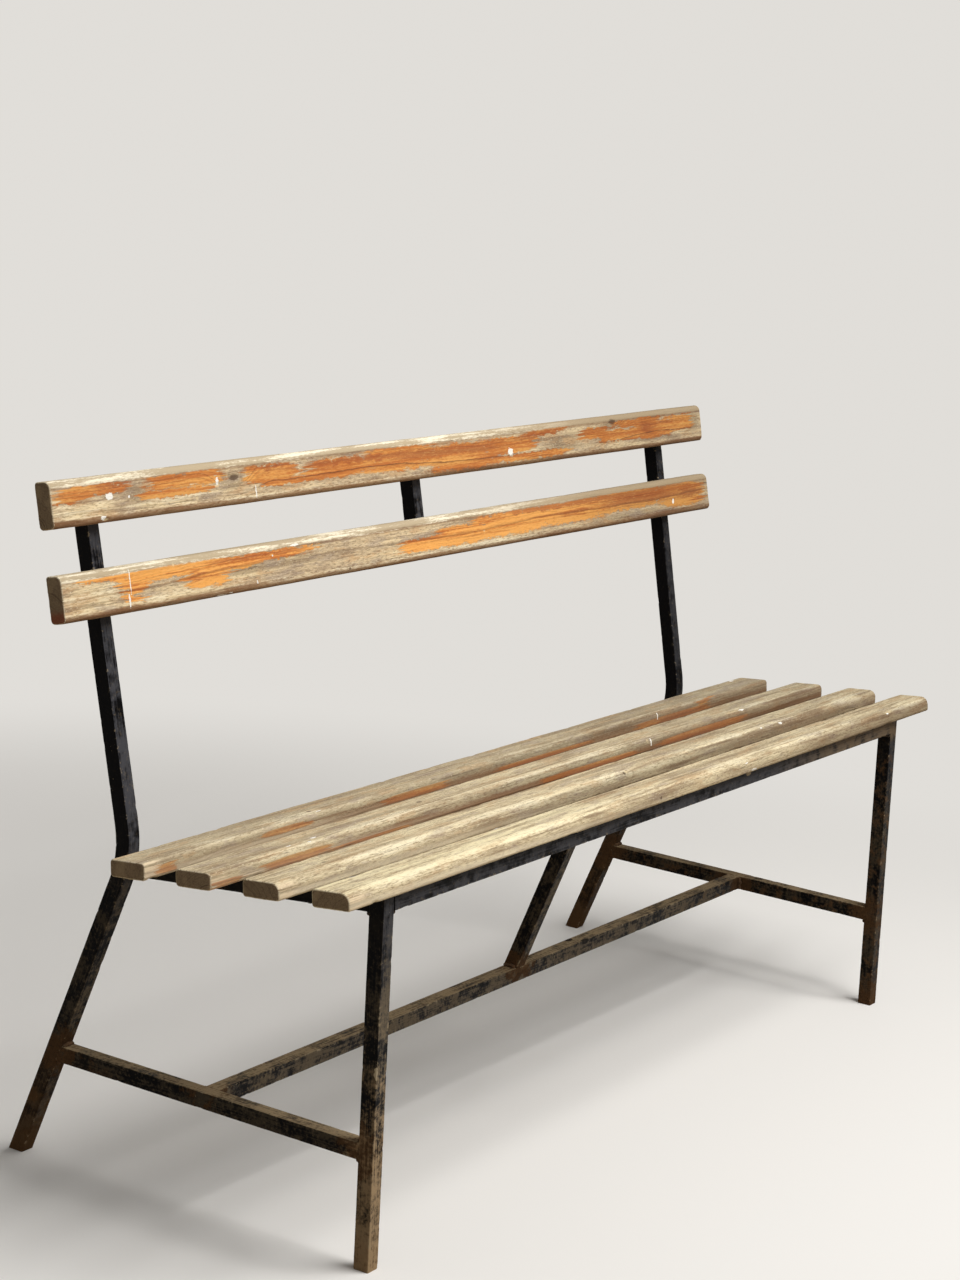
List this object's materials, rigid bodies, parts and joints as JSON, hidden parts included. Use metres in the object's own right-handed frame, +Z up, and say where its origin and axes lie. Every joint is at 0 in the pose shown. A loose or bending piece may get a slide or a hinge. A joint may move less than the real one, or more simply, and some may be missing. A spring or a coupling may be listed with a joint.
{
  "type": "slatted garden bench",
  "caption": "Free-standing slatted bench with a backrest: wooden slats on a welded frame of square steel bar, with splayed rear legs, low stretchers and a centre brace.",
  "frame": {"origin": "on the floor, below the middle of the bench's bounding box", "axes": "+X along the bench to the right of a person facing it, +Y towards the backrest, +Z up"},
  "size_m": [1.551, 0.5418, 0.8496],
  "materials": {
    "frame_paint": "black paint, satin, chipped, with rust at the feet and welds",
    "weld_metal": "rough beads, painted over and rusting through",
    "seat_wood": "bare weathered softwood, dry grain",
    "back_wood": "weathered softwood with remains of orange-brown varnish",
    "screw_metal": "darkened steel with light rust"
  },
  "bodies": {
    "root": {"left_front_leg": "frame_paint", "left_rear_leg_post": "frame_paint", "left_seat_rail": "frame_paint", "left_side_stretcher": "frame_paint", "left_frame_welds": "weld_metal", "right_front_leg": "frame_paint", "right_rear_leg_post": "frame_paint", "right_seat_rail": "frame_paint", "right_side_stretcher": "frame_paint", "right_frame_welds": "weld_metal", "front_seat_rail": "frame_paint", "long_stretcher": "frame_paint", "centre_seat_rail": "frame_paint", "centre_brace": "frame_paint", "centre_back_strap": "frame_paint", "centre_welds": "weld_metal", "seat_slat_1": "seat_wood", "seat_slat_2": "seat_wood", "seat_slat_3": "seat_wood", "seat_slat_4": "seat_wood", "lower_back_slat": "back_wood", "upper_back_slat": "back_wood", "seat_screws": "screw_metal", "back_screws": "screw_metal"}
  },
  "joints": []
}
